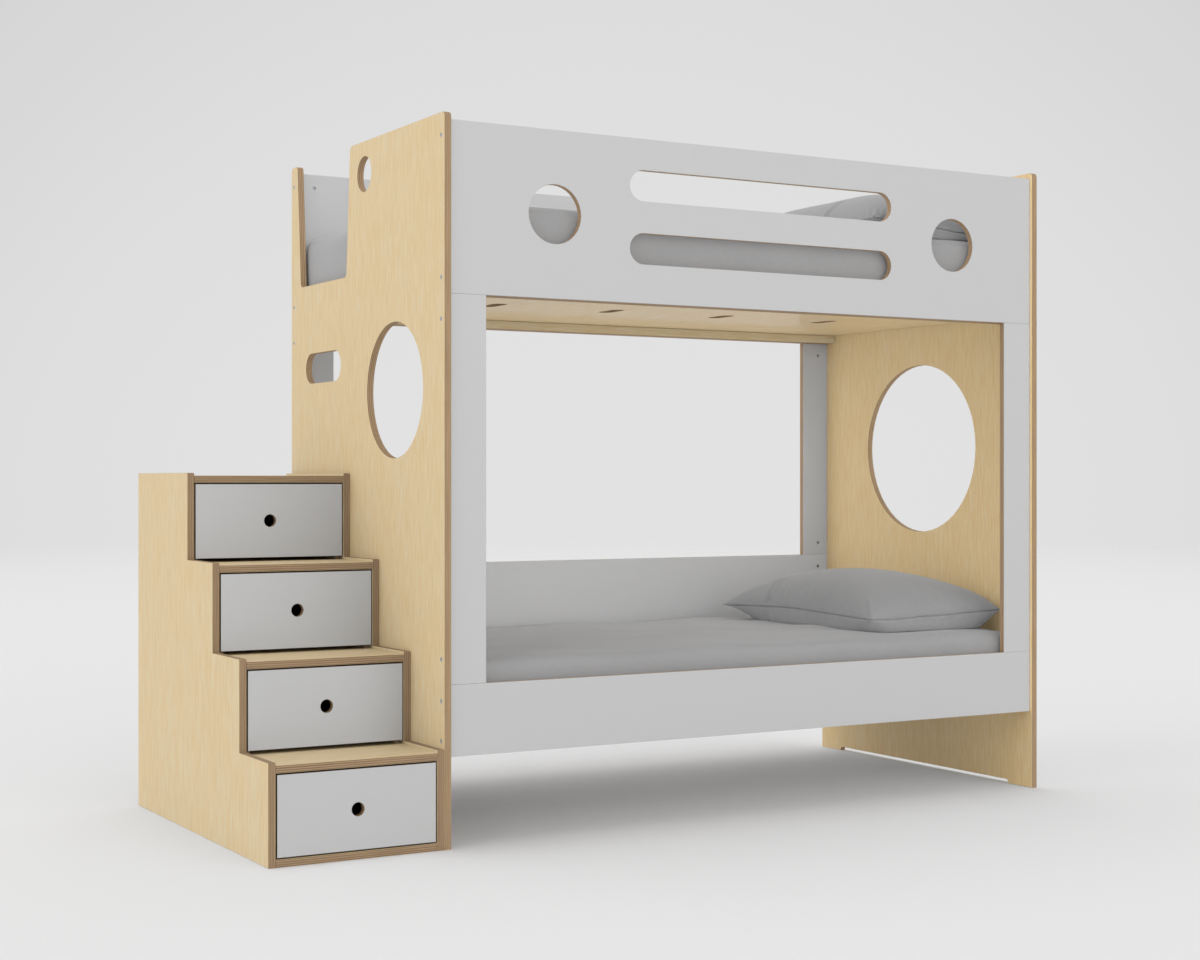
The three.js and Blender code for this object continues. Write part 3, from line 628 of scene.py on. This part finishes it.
def simulate(points, faces, pressure, frames, tension, bending):
    """Blows up a closed cloth shell without gravity and returns its points after the last frame."""
    mesh = bpy.data.meshes.new("cloth")
    mesh.from_pydata(points.tolist(), [], faces.tolist())
    shell = bpy.data.objects.new("cloth", mesh)
    scene = bpy.context.scene
    scene.collection.objects.link(shell)
    cloth = shell.modifiers.new("Cloth", "CLOTH")
    settings = cloth.settings
    settings.quality = 5
    settings.mass = 0.3
    settings.tension_stiffness = tension
    settings.compression_stiffness = tension
    settings.shear_stiffness = tension / 3
    settings.bending_stiffness = bending
    settings.use_pressure = True
    settings.uniform_pressure_force = pressure
    settings.effector_weights.gravity = 0
    cloth.collision_settings.use_collision = False
    cloth.point_cache.frame_start = 1
    cloth.point_cache.frame_end = frames
    for step in range(1, frames + 1):
        scene.frame_set(step)
    moved = shell.evaluated_get(bpy.context.evaluated_depsgraph_get()).to_mesh()
    result = np.zeros(len(points) * 3)
    moved.vertices.foreach_get("co", result)
    bpy.data.objects.remove(shell)
    bpy.data.meshes.remove(mesh)
    scene.frame_set(1)
    return result.reshape(-1, 3)


def pillow_places(count, half, power):
    """Places from -1 to 1 across a pillow, evenly spread but closer together at the seam.

    The first few lie at set distances from the seam, in metres. The next lie where the rise, which is the
    distance to the given power, has reached set shares of its height.
    """
    rise = np.array([0.032, 0.045, 0.062, 0.085, 0.115, 0.15, 0.19])
    near = np.array([0, 0.00002, 0.00006, 0.00015, 0.0003]) / half
    rim = np.concatenate([1 - near, 1 - near[-1] - rise ** (1 / power) / 2])
    inner = np.linspace(-1, 1, count) * (rim[-1] - 0.004 / half)
    return np.sort(np.concatenate([-rim, inner, rim]))


def bumps(u, v, places):
    """Height of smooth bumps: each one's height times a bell curve of the distance from its place."""
    return sum(height * np.exp(-((u - x) ** 2 + (v - y) ** 2) / reach**2) for x, y, reach, height in places)


def case_folds(u, v, size, lines):
    """Height of folds along lines: a ridge beside a furrow.

    It is the fold's height times the difference of two bell curves of the distance to either side of the
    line, times 1 - t^4 of the way t along it, counted from -1 to 1.
    """
    half = np.array(size[:2]) / 2
    total = 0
    for x0, y0, x1, y1, reach, height in lines:
        start, end = np.array([x0, y0]) * half, np.array([x1, y1]) * half
        way = (end - start) / np.linalg.norm(end - start)
        x, y = u * half[0] - start[0], v * half[1] - start[1]
        aside = x * way[1] - y * way[0]
        t = np.clip(2 * (x * way[0] + y * way[1]) / np.linalg.norm(end - start) - 1, -1, 1)
        fold = np.exp(-((aside / reach - 0.7) ** 2)) - np.exp(-((aside / reach + 0.7) ** 2))
        total = total + height * fold * (1 - t**4)
    return total


def pillow_form(u, v, size, settings, shape, upper):
    """The pillow's surface: u and v run from -1 to 1 between the seams.

    The rise mixes two powers, of (1 - u^2)(1 - v^2) and of the smaller of the two, which gives the corners
    their ridges. The height over the seam is the rise times what is left of the pillow's height, less at the
    corners' tips. The lower sheet drops steeply from the seam to the mattress and rests on it, later at the
    corner that reaches out. The sides draw in by the pinch between the corners, and both sheets draw in a
    little more just at the seam, by a bell curve of the height from it, which leaves a groove.
    """
    round_in, groove_reach = 0.002, 0.02
    width, across, height = size
    pinch = settings.pillow_pinch
    a, b = np.maximum(1 - u**2, 1e-6), np.maximum(1 - v**2, 1e-6)
    smaller = (0.5 * (a**-8 + b**-8)) ** (-1 / 8)
    fill = (1 - settings.ridge) * (a * b) ** settings.plumpness + settings.ridge * smaller**settings.plumpness
    fill = fill * np.sqrt(np.clip(np.minimum(1 - abs(u), 1 - abs(v)) / round_in, 0, 1))
    seam = settings.pillow_seam + bumps(u, v, shape["seam"])
    x = u * (width / 2 - pinch * (1 - v**2) * abs(u))
    y = v * (across / 2 - pinch * (1 - u**2) * abs(v))
    y = y - shape["front"] * ((1 - v) / 2) ** 2
    corner_u, corner_v, reach = shape["corner"]
    corner = (1 + corner_u * u) * (1 + corner_v * v) / 4
    x = x + corner_u * reach * corner**10
    if upper:
        z = seam + (height - seam + bumps(u, v, shape["top"])) * fill * (1 - (u * v) ** 10)
    else:
        drop = settings.underside * fill * (1 - abs(u * v) ** 3) * (1 - 0.9 * corner**3)
        z = seam * (1 - np.minimum(drop, 1)) ** 1.2
    groove = settings.seam_groove * np.exp(-(((z - seam) / settings.seam_width) ** 2))
    x = x - np.sign(u) * groove * np.exp(-(((1 - abs(u)) * width / groove_reach) ** 2))
    y = y - np.sign(v) * groove * np.exp(-(((1 - abs(v)) * across / groove_reach) ** 2))
    return np.stack([x, y, z], -1)


def pillow_folds(size):
    """Creases of a pillow case: two flat sheets joined at the rim are blown up as cloth.

    Returns for the upper and the lower sheet how far each even sample lies off its own smooth shape.
    """
    columns, rows = 56, 84
    u, v = np.meshgrid(np.linspace(-1, 1, columns), np.linspace(-1, 1, rows), indexing="ij")
    width, across = size
    lift = 0.02 * (1 - u**2) * (1 - v**2)
    upper = np.stack([u * width / 2, v * across / 2, lift], -1)
    points, faces = grids([(upper, True), (upper * (1, 1, -1), False)])
    kept, number = shared(points, 1e-6)
    moved = simulate(points[kept], number[faces], pressure=6.0, frames=34, tension=12.0, bending=0.15)
    moved = moved[number].reshape(2, columns, rows, 3)
    blur_u, blur_v = smoothing(columns, 4.0), smoothing(rows, 4.0)
    inside = ((1 - u**8) * (1 - v**8))[..., None]
    return [(sheet - np.einsum("ij,jkc,lk->ilc", blur_u, sheet, blur_v)) * inside for sheet in moved]


def pillow(name, node, folds):
    """A pillow in its case: a smooth form with its own folds and the creases of the simulated case on it."""
    settings = bpy.context.scene.bunk_bedding
    shape = PILLOWS[node]
    turn, flip = shape["turn"], shape["flip"]
    low, high = (np.array(corner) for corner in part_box(node))
    cosine, sine = math.cos(turn), math.sin(turn)
    spread = np.array([[abs(cosine), abs(sine)], [abs(sine), abs(cosine)]])
    width, across = np.linalg.solve(spread, (high - low)[:2])
    size = (width, across, high[2] - low[2])
    u = pillow_places(104, width / 2, settings.plumpness)
    v = pillow_places(152, across / 2, settings.plumpness)
    grid_u, grid_v = np.meshgrid(u, v, indexing="ij")
    sheets = []
    for upper in (True, False):
        sheet = pillow_form(grid_u, grid_v, size, settings, shape, upper)
        fold = case_folds(grid_u, grid_v, size, shape["folds"])[..., None]
        side = np.stack([grid_u**7, grid_v**7, np.full_like(grid_u, 0.8 if upper else 0.0)], -1)
        rim = np.clip(np.minimum(1 - abs(grid_u), 1 - abs(grid_v)) / 0.01, 0, 1)[..., None]
        sheet = sheet + fold * side * rim
        if folds is not None:
            fold = folds[0 if upper else 1][::flip, ::flip]
            read = np.einsum("ij,jkc,lk->ilc", sampling(u, fold.shape[0]), fold, sampling(v, fold.shape[1]))
            near = np.exp(-((1 - np.maximum(abs(grid_u) ** 2, abs(grid_v) ** 2)) / 0.35)[..., None])
            sheet = sheet + read * (0.1 + 0.5 * near) * (flip * 0.5, flip * 0.5, 0.8 if upper else 0.3)
        sheets.append((sheet, upper))
    points, faces = grids(sheets)
    points[:, 2] = np.clip(points[:, 2], 0, size[2])
    flat = np.stack([grid_u * width / 2, grid_v * across / 2], -1).reshape(-1, 2)
    uv = np.concatenate([flat, flat + 1])[faces]
    points, faces = weld(points, faces, 1e-8)
    points = points @ np.array([[cosine, sine, 0], [-sine, cosine, 0], [0, 0, 1]])
    points[:, :2] += (low + high)[:2] / 2
    # Where the mattress's edge rounds away under the pillow, the lower sheet follows it
    radius = settings.mattress_radius
    past = np.clip(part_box(node.replace("pillow", "mattress"))[0].y + radius - points[:, 1], 0, 0.9 * radius)
    drop = radius - np.sqrt(radius**2 - past**2)
    points[:, 2] += low[2] - 0.8 * drop * np.clip(1 - points[:, 2] / settings.pillow_seam, 0, 1)
    piece = make_piece(name, points, faces, bpy.data.materials["pillow_linen"], [node], uv)
    return piece


def mattress_form(size, settings):
    """A box rounded by a radius and crowned, with a place on the cloth for each face's corners.

    Each face of the box is a grid of two parameters. A point is pulled in to the box less its radius and
    pushed out again by the radius along the way it came. Seen from above, the way's length is taken with the
    power of twelve, not of two, which leaves the upright edges squarer than the others. The upper half rises
    by the crown times one less the sixth power of the way to each edge, and by two sine waves.
    """
    crown, radius = settings.mattress_crown, settings.mattress_radius
    half = size / 2 - (0, 0, crown / 2)
    counts = np.maximum(np.round(2 * half / settings.mattress_cell), 8).astype(int)
    sheets, flats = [], []
    for axis in range(3):
        first, second = (axis + 1) % 3, (axis + 2) % 3
        a, b = np.meshgrid(*(np.linspace(-1, 1, counts[i] + 1) for i in (first, second)), indexing="ij")
        for side in (-1, 1):
            places = np.zeros((*a.shape, 3))
            places[..., axis], places[..., first], places[..., second] = side, a, b
            core = np.clip(places * half, radius - half, half - radius)
            out = places * half - core
            level = (abs(out[..., :2]) ** 12).sum(-1, keepdims=True) ** (1 / 12)
            sheet = core + radius * out / np.maximum(np.hypot(level, out[..., 2:]), 1e-9)
            rise = crown * (1 - (sheet[..., 0] / half[0]) ** 6) * (1 - (sheet[..., 1] / half[1]) ** 6)
            x, y = sheet[..., 0], sheet[..., 1]
            waves = np.sin(9 * x + 23 * y) + np.sin(14 * x - 8 * y)
            rise = rise + settings.mattress_wave * waves
            sheet[..., 2] += rise * np.clip(sheet[..., 2] / half[2], 0, 1)
            sheets.append((sheet, side > 0))
            flats.append(np.stack([a * half[first], b * half[second]], -1).reshape(-1, 2) + axis)
    points, faces = grids(sheets)
    uv = np.concatenate(flats)[faces]
    points, faces = weld(points, faces)
    return points - (0, 0, crown / 2), faces, uv


def mattress(name, node, shape):
    """A mattress in a fitted sheet, from a shape around the origin."""
    low, high = (np.array(corner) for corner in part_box(node))
    points, faces, uv = shape
    piece = make_piece(name, points + (low + high) / 2, faces, bpy.data.materials["sheet_linen"],
                       [node], uv)
    smooth = piece.modifiers.new("Smooth", "SUBSURF")
    smooth.levels = smooth.render_levels = 1


def swell(points, faces, reach):
    """Blows a closed shell up as cloth, with no point moved past the reach and none below the lowest."""
    moved = simulate(points, faces, pressure=4.0, frames=20, tension=30.0, bending=2.0) - points
    way = np.linalg.norm(moved, axis=1, keepdims=True)
    swollen = points + moved * np.minimum(1, reach / np.maximum(way, 1e-9))
    swollen[:, 2] = np.maximum(swollen[:, 2], points[:, 2].min())
    return swollen


def revolve(profile, sides, hexagonal=()):
    """A closed solid of revolution about Z through rings of the profile's radii and heights.

    The first and the last ring have no radius. The rings that hexagonal numbers are hexagons, whose radius at
    each angle is the corner radius times cos 30 over the cosine of the angle from the nearest flat's middle.
    """
    profile = np.asarray(profile, float)
    angle = np.linspace(0, 2 * math.pi, sides + 1)
    sixth = (angle + math.pi / 6) % (math.pi / 3) - math.pi / 6
    radius = np.repeat(profile[:, :1], sides + 1, axis=1)
    for ring in hexagonal:
        radius[ring] *= math.cos(math.pi / 6) / np.cos(sixth)
    height = np.repeat(profile[:, 1:], sides + 1, axis=1)
    sheet = np.stack([radius * np.cos(angle), radius * np.sin(angle), height], -1)
    points, faces = weld(*grids([(sheet, False)]), 1e-7)
    return points, [list(dict.fromkeys(face)) for face in faces.tolist()]


def bolt_shape(settings):
    """A connector bolt along +Z from its head's face: hexagon socket, rounded head and plain shank."""
    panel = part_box("left_end_panel")[1].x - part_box("left_end_panel")[0].x
    end = panel - settings.head_recess + settings.nut_inset + settings.tip
    soft = 0.0005
    socket, head, shank = settings.socket_radius, settings.head_radius, settings.shank_radius
    depth, thick = settings.socket_depth, settings.head_thickness
    profile = [(0, depth), (0.7 * socket, depth), (socket, 0.9 * depth), (socket, 0.1 * depth),
               (1.15 * socket, 0), (head - soft, 0), (head - 0.3 * soft, 0.3 * soft), (head, soft),
               (head, thick), (shank + soft, thick), (shank, thick + soft), (shank, end - soft),
               (shank - soft, end), (0, end)]
    return revolve(profile, 36, (1, 2, 3))


def nut_shape(settings):
    """A barrel nut along Z: a cylinder with rounded rims, less the bolt's hole and a slot in each end."""
    radius, half, soft = settings.nut_radius, settings.nut_length / 2, 0.0006
    clearance, slot_width, slot_depth = 0.0003, 0.0012, 0.001
    profile = [(0, -half), (radius - soft, -half), (radius, soft - half), (radius, half - soft),
               (radius - soft, half), (0, half)]
    points, faces = revolve(profile, 36)
    mesh = bpy.data.meshes.new("nut")
    mesh.from_pydata(points.tolist(), [], faces)
    body = bpy.data.objects.new("nut", mesh)
    bpy.context.scene.collection.objects.link(body)
    cutters = []
    hole = bmesh.new()
    bore = settings.shank_radius + clearance
    bmesh.ops.create_cone(hole, cap_ends=True, segments=24, radius1=bore, radius2=bore, depth=4 * radius)
    to_side = Vector((0, 0, 1)).rotation_difference(Vector((1, 0, 0))).to_matrix()
    bmesh.ops.rotate(hole, verts=hole.verts, matrix=to_side)
    slot = bmesh.new()
    for side in (-1, 1):
        cube = bmesh.ops.create_cube(slot, size=1)["verts"]
        bmesh.ops.scale(slot, verts=cube, vec=(slot_width, 4 * radius, 2 * slot_depth))
        bmesh.ops.translate(slot, verts=cube, vec=(0, 0, side * half))
    for work in (hole, slot):
        data = bpy.data.meshes.new("cutter")
        work.to_mesh(data)
        work.free()
        cutter = bpy.data.objects.new("cutter", data)
        bpy.context.scene.collection.objects.link(cutter)
        cutters.append(cutter)
        cut = body.modifiers.new("Cut", "BOOLEAN")
        cut.operation, cut.solver, cut.object = "DIFFERENCE", "EXACT", cutter
    clean = bmesh.new()
    clean.from_mesh(body.evaluated_get(bpy.context.evaluated_depsgraph_get()).to_mesh())
    bmesh.ops.remove_doubles(clean, verts=clean.verts, dist=0.00002)
    bmesh.ops.triangulate(clean, faces=clean.faces)
    bmesh.ops.dissolve_degenerate(clean, dist=0.000005, edges=clean.edges)
    result = bpy.data.meshes.new("nut_result")
    clean.to_mesh(result)
    clean.free()
    points = np.zeros(len(result.vertices) * 3)
    result.vertices.foreach_get("co", points)
    faces = [list(face.vertices) for face in result.polygons]
    for used in (body, *cutters):
        bpy.data.objects.remove(used)
    return points.reshape(-1, 3), faces


def connector_places(settings):
    """Yields each connector's name, its end and side of the bed, and where its column meets its level."""
    for side in SIDES:
        guard_low, guard_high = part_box(f"{side}_guard_rail")
        rail_low, rail_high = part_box(f"{side}_bottom_rail")
        middle = (guard_low.y + guard_high.y) / 2
        for end, stile_inset in (("left", settings.left_stile_inset), ("right", settings.right_stile_inset)):
            levels = (
                rail_low.z + settings.rail_inset,
                rail_high.z - settings.rail_inset,
                rail_high.z + stile_inset,
                guard_low.z - stile_inset,
                guard_low.z + settings.rail_inset,
                guard_high.z - settings.rail_inset,
            )
            for number, level in enumerate(levels, 1):
                yield f"{side}_{end}_{number}", end, side, middle, level


def connectors():
    """All bolts through the end panels, with their barrel nuts in the rails and stiles."""
    settings = bpy.context.scene.bunk_connectors
    bolt_steel, nut_steel = (bpy.data.materials[f"zinc_plated_{kind}"] for kind in ("bolt", "nut"))
    bolt_points, bolt_faces = bolt_shape(settings)
    nut_points, nut_faces = nut_shape(settings)
    for name, end, side, middle, level in connector_places(settings):
        panel_low, panel_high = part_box(f"{end}_end_panel")
        inward = 1 if end == "left" else -1
        outer, inner = (panel_low.x, panel_high.x) if end == "left" else (panel_high.x, panel_low.x)
        turned = np.stack([inward * bolt_points[:, 2], bolt_points[:, 0], inward * bolt_points[:, 1]], -1)
        start = np.array([outer + inward * settings.head_recess, middle, level])
        packed = side == "front" and name.endswith("_6")
        stands_for = [f"guard_rail_bolt_{end}"] if packed else []
        make_piece(f"bolt_{name}", turned + start, bolt_faces, bolt_steel, stands_for, smooth=False)
        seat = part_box(f"{side}_guard_rail")[0].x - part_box("left_end_panel")[1].x
        centre = np.array([inner + inward * (seat + settings.nut_inset), middle, level])
        laid = np.stack([nut_points[:, 0], -nut_points[:, 2], nut_points[:, 1]], -1)
        stands_for = [f"guard_rail_nut_{end}"] if packed else []
        make_piece(f"barrel_nut_{name}", laid + centre, nut_faces, nut_steel, stands_for, smooth=False)


def place_camera():
    """The camera at the photograph's angle, level and turned about the vertical."""
    scene = bpy.context.scene
    settings = scene.bunk_studio
    scene.view_settings.view_transform = "Standard"
    data = bpy.data.cameras.new("camera")
    data.lens, data.sensor_width, data.sensor_fit = settings.lens, settings.sensor, "HORIZONTAL"
    data.clip_end = 5 * settings.floor_radius
    camera = bpy.data.objects.new("camera", data)
    camera.location = settings.camera_place
    camera.rotation_euler = (math.pi / 2, 0, settings.camera_turn)
    scene.collection.objects.link(camera)
    scene.camera = camera


def lay_floor():
    """A plain pale floor that fades out.

    It is rings of points around the origin, whose radii grow by the square of the ring's number, and a point
    in the middle.
    """
    scene = bpy.context.scene
    settings = scene.bunk_studio
    rings, sides = 12, 96
    angle = np.arange(sides) * 2 * math.pi / sides
    radius = settings.floor_radius * np.linspace(0, 1, rings + 1)[1:, None] ** 2
    points = np.stack([radius * np.cos(angle), radius * np.sin(angle), np.zeros((rings, sides))], -1)
    index = np.arange(rings * sides).reshape(rings, sides)
    index = np.concatenate([index, index[:, :1]], axis=1)
    faces = [list(face) for face in quads(index)]
    faces += [[rings * sides, index[0, i], index[0, i + 1]] for i in range(sides)]
    mesh = bpy.data.meshes.new("floor")
    mesh.from_pydata([*points.reshape(-1, 3).tolist(), [0, 0, 0]], [], faces)
    floor = bpy.data.objects.new("floor", mesh)
    scene.collection.objects.link(floor)
    material = bpy.data.materials.new("pale_floor")
    mesh.materials.append(material)
    graph = Graph(material)
    place = graph.place()
    away = graph.add("ShaderNodeVectorMath", {0: place}, operation="LENGTH").outputs["Value"]
    further = graph.ramp(away, settings.near_end, settings.far_start)
    tint = graph.mix(further, opaque(settings.floor_near), opaque(settings.floor_far))
    paint = graph.add("ShaderNodeBsdfDiffuse", {"Color": tint})
    clear = graph.add("ShaderNodeBsdfTransparent")
    fade = graph.ramp(away, settings.fade_start, settings.fade_end)
    mixed = graph.add("ShaderNodeMixShader", {0: fade, 1: paint.outputs[0], 2: clear.outputs[0]})
    graph.add("ShaderNodeOutputMaterial", {"Surface": mixed.outputs[0]})


def light_studio():
    """Soft light from all round, and for the camera a plain backdrop.

    Each light grows smoothly with the cosine of the angle between a direction and the light's own. The
    backdrop has its high tone above the height top of a unit direction, and its side tone where the cosine of
    the angle from the camera's direction is less than side.
    """
    scene = bpy.context.scene
    settings = scene.bunk_studio
    top, side = 0.30, 0.86
    world = bpy.data.worlds.new("studio")
    scene.world = world
    graph = Graph(world)
    direction = graph.add("ShaderNodeTexCoord").outputs["Generated"]
    parts = graph.add("ShaderNodeSeparateXYZ", {0: direction})
    forward = (-math.sin(settings.camera_turn), math.cos(settings.camera_turn), 0)
    ahead = graph.cosine(direction, forward)
    higher = graph.ramp(parts.outputs[2], 0.0, top, settings.backdrop_low, settings.backdrop_high)
    aside = graph.ramp(ahead, side, 1.0, -settings.backdrop_side, 0.0)
    seen = graph.math("ADD", higher, aside)
    lit = 0.0
    for name, (way, reach) in LIGHTS.items():
        towards = graph.cosine(direction, Vector(way).normalized())
        lit = graph.math("ADD", lit, graph.ramp(towards, reach, 1.0, 0.0, getattr(settings, name)))
    looked_at = graph.add("ShaderNodeLightPath").outputs["Is Camera Ray"]
    shine = graph.add("ShaderNodeMix", {0: looked_at, 2: lit, 3: seen}, data_type="FLOAT").outputs[0]
    backdrop = graph.add("ShaderNodeBackground", {"Color": (1, 1, 1, 1), "Strength": shine})
    graph.add("ShaderNodeOutputWorld", {"Surface": backdrop.outputs[0]})


class BUNK_OT_studio(bpy.types.Operator):
    """Make the camera, the floor and the light."""

    bl_idname = "bunk.studio"
    bl_label = "Studio"

    def execute(self, context):
        place_camera()
        lay_floor()
        light_studio()
        return {"FINISHED"}


class BUNK_OT_boards(bpy.types.Operator):
    """Give every board its own veneer, laminate and layered edges."""

    bl_idname = "bunk.boards"
    bl_label = "Boards"

    def execute(self, context):
        number = 0
        for finish, thickness, grain, nodes in BOARDS:
            for node in nodes:
                number += 1
                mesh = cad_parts[node].data
                mesh.materials.clear()
                name = f"{finish}_{node}"
                mesh.materials.append(board_material(name, node, finish, thickness, grain, number))
        return {"FINISHED"}


class BUNK_OT_mattresses(bpy.types.Operator):
    """Make the two mattresses in their fitted sheets."""

    bl_idname = "bunk.mattresses"
    bl_label = "Mattresses"

    def execute(self, context):
        settings = context.scene.bunk_bedding
        low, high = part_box("lower_mattress")
        size = np.array(high - low) + (2 * settings.mattress_spread, 0, 0)
        points, faces, uv = mattress_form(size, settings)
        points = swell(points, faces, settings.mattress_swell)
        for bunk in BUNKS:
            mattress(f"{bunk}_mattress_in_sheet", f"{bunk}_mattress", (points, faces, uv))
        return {"FINISHED"}


class BUNK_OT_pillows(bpy.types.Operator):
    """Make the two pillows in their cases."""

    bl_idname = "bunk.pillows"
    bl_label = "Pillows"

    def execute(self, context):
        folds = pillow_folds(CASE_SIZE)
        for node in PILLOWS:
            pillow(f"{node}_in_case", node, folds)
        return {"FINISHED"}


class BUNK_OT_connectors(bpy.types.Operator):
    """Make all connector bolts and barrel nuts."""

    bl_idname = "bunk.connectors"
    bl_label = "Connectors"

    def execute(self, context):
        connectors()
        return {"FINISHED"}


class BUNK_OT_materials(bpy.types.Operator):
    """Make the linen and the steel."""

    bl_idname = "bunk.materials"
    bl_label = "Linen and steel"

    def execute(self, context):
        bedding, steel = context.scene.bunk_bedding, context.scene.bunk_connectors
        linen_material("sheet_linen", bedding.sheet_linen)
        linen_material("pillow_linen", bedding.pillow_linen)
        # The bolts are a brighter, less metallic copy of the nuts' steel: painted light
        steel_material("zinc_plated_bolt", metal=steel.bolt_metal_painted_light, pale=steel.bolt_painted_light)
        steel_material("zinc_plated_nut", metal=1.0, pale=1.0)
        return {"FINISHED"}


class BUNK_PT_sidebar(bpy.types.Panel):
    """Lists the steps that make the bed's looks."""

    bl_label = "Bunk bed"
    bl_idname = "BUNK_PT_sidebar"
    bl_space_type = "VIEW_3D"
    bl_region_type = "UI"
    bl_category = "Bunk bed"

    def draw(self, context):
        for operator in OPERATORS:
            self.layout.operator(operator.bl_idname)


SETTINGS = {
    "bunk_boards": BoardSettings,
    "bunk_bedding": BeddingSettings,
    "bunk_connectors": ConnectorSettings,
    "bunk_studio": StudioSettings,
}
OPERATORS = (
    BUNK_OT_studio,
    BUNK_OT_materials,
    BUNK_OT_boards,
    BUNK_OT_mattresses,
    BUNK_OT_pillows,
    BUNK_OT_connectors,
)


def register():
    for group in (*SETTINGS.values(), *OPERATORS, BUNK_PT_sidebar):
        bpy.utils.register_class(group)
    for name, group in SETTINGS.items():
        setattr(bpy.types.Scene, name, bpy.props.PointerProperty(type=group))


def unregister():
    for name in SETTINGS:
        delattr(bpy.types.Scene, name)
    for group in (BUNK_PT_sidebar, *reversed(OPERATORS), *SETTINGS.values()):
        bpy.utils.unregister_class(group)


def main():
    register()
    bpy.ops.bunk.studio()
    bpy.ops.bunk.materials()
    bpy.ops.bunk.boards()
    bpy.ops.bunk.mattresses()
    bpy.ops.bunk.pillows()
    bpy.ops.bunk.connectors()


if __name__ == "__main__":
    main()
